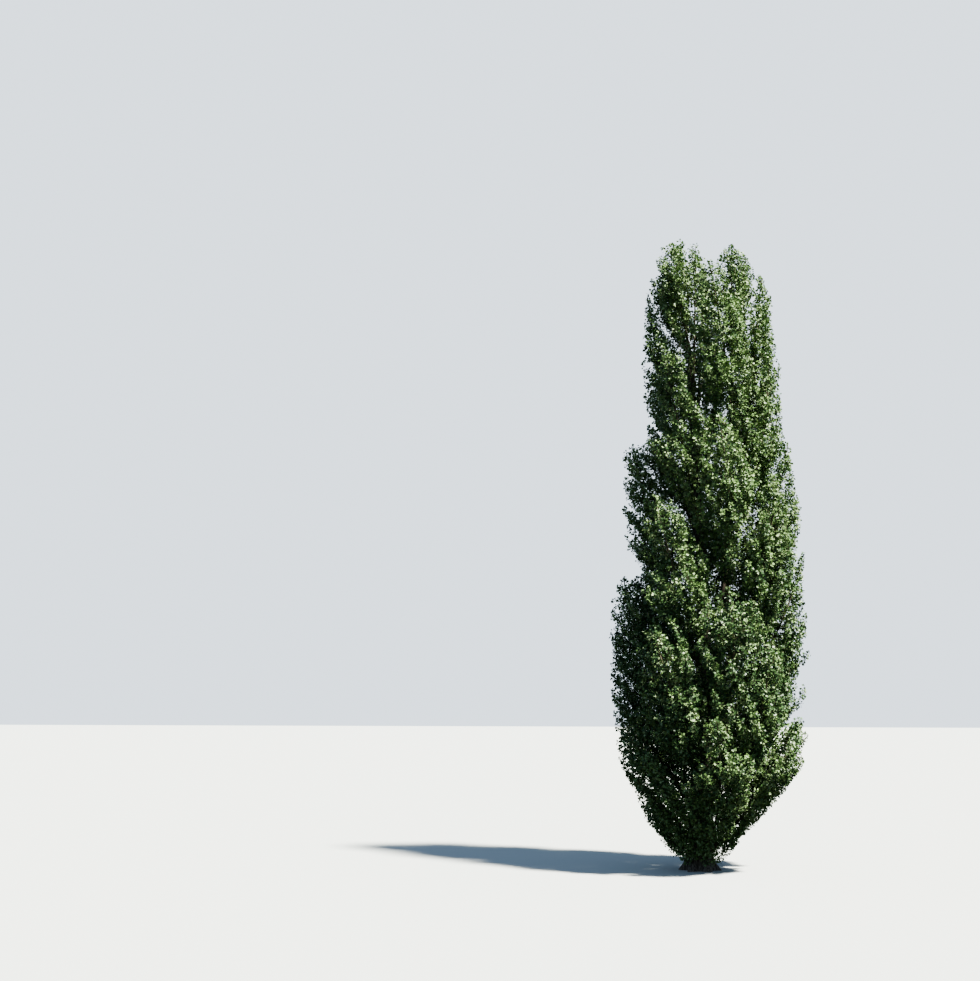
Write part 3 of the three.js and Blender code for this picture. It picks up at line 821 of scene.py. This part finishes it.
def bark_material(name, ridge_colour, furrow_colour, across_mm, along_mm, bump):
    """Poplar bark: rough and dull, grey on the ridges and darker in the furrows that run up the limb."""
    material = new_material(name)
    place = add_node(material, "ShaderNodeTexCoord")
    scale = (1000 / across_mm, 1000 / across_mm, 1000 / along_mm)
    stretched = add_node(material, "ShaderNodeMapping", {"Scale": scale}, Vector=place.outputs["Object"])
    ridges = add_node(
        material, "ShaderNodeTexNoise", {"Scale": 1.0, "Detail": 6.0, "Roughness": 0.62, "Distortion": 0.6},
        Vector=stretched.outputs["Vector"],
    )
    colours = add_node(material, "ShaderNodeValToRGB", Fac=ridges.outputs["Fac"])
    furrow, ridge = colours.color_ramp.elements
    furrow.position, furrow.color = 0.38, linear(furrow_colour)
    ridge.position, ridge.color = 0.62, linear(ridge_colour)
    relief = add_node(
        material, "ShaderNodeBump", {"Strength": bump, "Distance": 0.01}, Height=ridges.outputs["Fac"]
    )
    shader = add_node(
        material, "ShaderNodeBsdfPrincipled", {"Roughness": 0.92, "IOR": 1.45},
        Base_Color=colours.outputs["Color"], Normal=relief.outputs["Normal"],
    )
    return finish_material(material, shader)


def bark_ridge(place):
    """How high the bark stands at a place on a limb, from 0 in a furrow to 1 on a ridge."""
    across = RIDGE_ACROSS_MM / 1000
    spot = Vector((place[0] / across, place[1] / across, place[2] / (RIDGE_ALONG_MM / 1000)))
    bend = noise.noise_vector(spot * RIDGE_BEND_SPACING) * RIDGE_BEND
    return min(1.0, RIDGE_STEEPNESS * abs(noise.noise(spot + bend)))


def cut_into_rings(piece, rings):
    """Cuts the upright edges of a cylinder's wall into so many parts, in two steps if they are many."""
    bpy.ops.object.mode_set(mode="EDIT")
    bpy.ops.mesh.select_mode(type="EDGE")
    first = max(parts for parts in range(1, MOST_PARTS + 1) if rings % parts == 0)
    for parts in (first, rings // first):
        if parts < 2:
            continue
        mesh = bmesh.from_edit_mesh(piece.data)
        bpy.ops.mesh.select_all(action="DESELECT")
        for edge in mesh.edges:
            low, high = edge.verts
            edge.select_set(abs(low.co.z - high.co.z) > LEVEL_WITHIN)
        bmesh.update_edit_mesh(piece.data)
        bpy.ops.mesh.subdivide(number_cuts=parts - 1)
    bpy.ops.object.mode_set(mode="OBJECT")


def limb_piece(name, line, radius, sides, rings, material, collar=0.0):
    """A cylinder that is bent along a limb's line, with the bark's ridges raised on it. A collar, which is
    a share of its radius, swells its foot."""
    bpy.ops.object.select_all(action="DESELECT")
    bpy.ops.mesh.primitive_cylinder_add(vertices=sides, radius=1, depth=1, end_fill_type="TRIFAN")
    piece = bpy.context.active_object
    piece.name = piece.data.name = name
    cut_into_rings(piece, rings)
    mesh = piece.data
    place = np.empty(len(mesh.vertices) * 3)
    mesh.vertices.foreach_get("co", place)
    x, y, z = place.reshape(-1, 3).T
    share = z + 0.5
    angle = np.arctan2(y, x)
    whole = line_length(line)
    reach = radius(share, angle) * (1 + collar * np.exp(-share * whole / COLLAR_LENGTH))
    spots = np.stack([np.cos(angle) * reach, np.sin(angle) * reach, share * whole], -1)
    height = RIDGE_HEIGHT_MM / 1000 * np.minimum(1, reach / TRUNK_RADIUS)
    ridge = np.array([bark_ridge(spot) for spot in spots])
    out = (reach + (ridge - RIDGE_SUNK_SHARE) * height) * np.hypot(x, y)
    bent = line(share) + across_line(line, share, angle) * out[:, None]
    mesh.vertices.foreach_set("co", bent.astype(np.float32).ravel())
    mesh.update()
    bpy.ops.object.shade_smooth_by_angle(angle=radians(SMOOTH_ANGLE))
    mesh.materials.append(material)
    return piece


def stem_radius(plume):
    """The radius of a plume's whole stem: its bough, then its taper to the tip."""

    def radius(share, angle):
        if plume.start == 0:
            return lerp(plume.foot_radius, STEM_TIP_RADIUS, share)
        bare = plume.foot_radius / BOUGH_TIP_SHARE * lerp(1, BOUGH_TIP_SHARE, share / BOUGH_SHARE)
        leafy = lerp(plume.foot_radius, STEM_TIP_RADIUS, (share - plume.start) / (1 - plume.start))
        return np.where(share < plume.start, bare, leafy)

    return radius


def place_piece(piece, nodes=()):
    """Ties a piece to the tree's one body, and hides the solids that it stands for."""
    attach(piece, "root")
    if nodes:
        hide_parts(*nodes)


def join_pieces(name, pieces):
    bpy.ops.object.select_all(action="DESELECT")
    for piece in pieces:
        piece.select_set(True)
    bpy.context.view_layer.objects.active = pieces[0]
    bpy.ops.object.join()
    pieces[0].name = pieces[0].data.name = name
    return pieces[0]


def add_wood(limbs, plumes, bark, young_bark):
    """The trunk, the second leader, and the boughs with the stems that grow on from them."""
    trunk, leader = limbs["trunk"], limbs["second_leader"]
    piece = limb_piece("trunk_bark", trunk.line, trunk.radius, TRUNK_SIDES, TRUNK_RINGS, bark)
    place_piece(piece, ["trunk"])
    piece = limb_piece(
        "second_leader_bark", leader.line, leader.radius, LEADER_SIDES, LEADER_RINGS, bark, COLLAR_SHARE
    )
    place_piece(piece, ["second_leader"])
    stems = []
    for plume in plumes:
        stem = (plume.name + "_stem", plume.line, stem_radius(plume))
        stems.append(limb_piece(*stem, BOUGH_SIDES, BOUGH_RINGS, young_bark, COLLAR_SHARE))
    boughs = [name for name in limbs if name.startswith("bough")]
    place_piece(join_pieces("boughs_and_stems", stems), boughs)


def deal_shades(root, foot, faces, twig, random):
    """A shade of green for each leaf, dealt out by twig: more of them the dark green of painted shade at
    low and middle heights, and the pale underside for leaves that turn over."""
    height = np.zeros(twig.max() + 1)
    height[twig] = root[:, 2]
    # Painted shade: twigs at low and middle heights get the dark green more often.
    painted_shade = random.random(len(height)) < np.interp(height, PAINTED_SHADE_HEIGHTS, PAINTED_SHADE_SHARES)
    common = COMMON_SHADES[random.integers(0, len(COMMON_SHADES), len(height))]
    shades = np.where(painted_shade, PAINTED_SHADE_GREEN, common)[twig]
    outward = unit(foot * FLAT)
    turned_over = (faces * outward).sum(-1) + OVER_UP * faces[:, 2] < OVER_LIMIT
    return np.where(turned_over, UNDER_SHADE, shades)


def add_foliage(plumes, leaf_materials, young_bark):
    """The shoots, twigs and leaves of every plume, joined into pieces of the same kind."""
    wood, leaves, shades, nodes = [], [], [], []
    count, number = 0, 1
    places, owner = spread_places(plumes, np.random.default_rng(SEED))
    for i, plume in enumerate(plumes):
        random = np.random.default_rng(SEED + i)
        shoots = grow_shoots(plume, places[owner == i], random)
        twigs = grow_twigs(plume, shoots, random)
        wood.append(tube_mesh(shoots[1:], SHOOT_RADIUS))
        wood.append(tube_mesh(twigs, TWIG_RADIUS))
        root, foot, length, points, faces, twig = grow_leaves(plume, twigs, random)
        vertices, triangles, each = leaf_mesh(root, foot, length, points, faces)
        if count + len(triangles) > PIECE_TRIANGLES:
            place_piece(add_piece(f"leaves_{number}", leaves, leaf_materials, shades), nodes)
            leaves, shades, nodes, count, number = [], [], [], 0, number + 1
        leaves.append((vertices, triangles))
        shades.append(np.repeat(deal_shades(root, foot, faces, twig, random), each))
        nodes.append(plume.name)
        count += len(triangles)
    place_piece(add_piece(f"leaves_{number}", leaves, leaf_materials, shades), nodes)
    half = len(wood) // 2
    place_piece(add_piece("twigs_1", wood[:half], [young_bark]))
    place_piece(add_piece("twigs_2", wood[half:], [young_bark]))


def add_camera():
    data = bpy.data.cameras.new("camera")
    data.sensor_width = SENSOR_MM
    data.lens = CAMERA_FOCAL_PIXELS / FRAME_PIXELS * SENSOR_MM
    data.clip_end = CAMERA_REACH
    camera = bpy.data.objects.new("camera", data)
    camera.location = CAMERA_PLACE
    camera.rotation_euler = Euler((radians(90 + CAMERA_TILT_UP), 0, radians(CAMERA_TURN_LEFT)))
    bpy.context.scene.collection.objects.link(camera)
    bpy.context.scene.camera = camera


def add_key_light():
    data = bpy.data.lights.new("key_light", "SUN")
    data.energy = KEY_ENERGY
    data.angle = radians(KEY_WIDTH)
    data.color = KEY_COLOUR
    lamp = bpy.data.objects.new("key_light", data)
    lamp.rotation_euler = Euler((radians(90 - KEY_HEIGHT), 0, radians(KEY_TURN + 90)))
    bpy.context.scene.collection.objects.link(lamp)


def floor_material():
    """Matt floor paint: pale to look at, though it throws only a little light back up."""
    material = new_material("matt_floor_paint")
    seen = add_node(material, "ShaderNodeBsdfDiffuse", {"Color": linear(FLOOR_SEEN)})
    bounced = add_node(material, "ShaderNodeBsdfDiffuse", {"Color": linear(FLOOR_BOUNCED)})
    seen_or_lighting(material, seen, bounced, "ShaderNodeOutputMaterial")
    return material


def add_studio():
    """A pale floor and an even, pale surround."""
    bpy.ops.mesh.primitive_plane_add(size=FLOOR_SIZE)
    floor = bpy.context.active_object
    floor.name = "studio_floor"
    floor.data.materials.append(floor_material())
    world = bpy.data.worlds.new("studio_surround")
    world.use_nodes = True
    world.node_tree.nodes.clear()
    surround = {"Color": linear(SURROUND_SEEN), "Strength": SURROUND_SEEN_STRENGTH}
    fill = {"Color": linear(SURROUND_FILL), "Strength": SURROUND_FILL_STRENGTH}
    seen = add_node(world, "ShaderNodeBackground", surround)
    lighting = add_node(world, "ShaderNodeBackground", fill)
    seen_or_lighting(world, seen, lighting, "ShaderNodeOutputWorld")
    bpy.context.scene.world = world
    bpy.context.scene.view_settings.look = "AgX - Medium High Contrast"


add_camera()
add_key_light()
add_studio()

# The clumps' waves are drawn once, and channel_depth reads them.
CLUMPS = clump_waves()

# Without a seed the bend of the bark's ridges would be another one each time that Blender starts.
noise.seed_set(SEED)

old_bark = bark_material(
    "furrowed_poplar_bark", "#8a8172", "#3d362d", across_mm=38, along_mm=260, bump=0.7
)
young_bark = bark_material(
    "smooth_young_poplar_bark", "#7b7462", "#4f4838", across_mm=20, along_mm=120, bump=0.3
)
greens = [
    leaf_material("poplar_leaf_upper_side", "#607c49", 0.44),
    # The darker green is painted shade, dealt to most twigs at low and middle heights.
    leaf_material("poplar_leaf_darker", "#45603a", 0.42),
    leaf_material("poplar_leaf_lighter", "#738e58", 0.46),
    leaf_material("poplar_leaf_underside", "#90a378", 0.55),
]

limbs, plumes = grow_skeleton()
add_wood(limbs, plumes, old_bark, young_bark)
add_foliage(plumes, greens, young_bark)

bpy.context.view_layer.update()
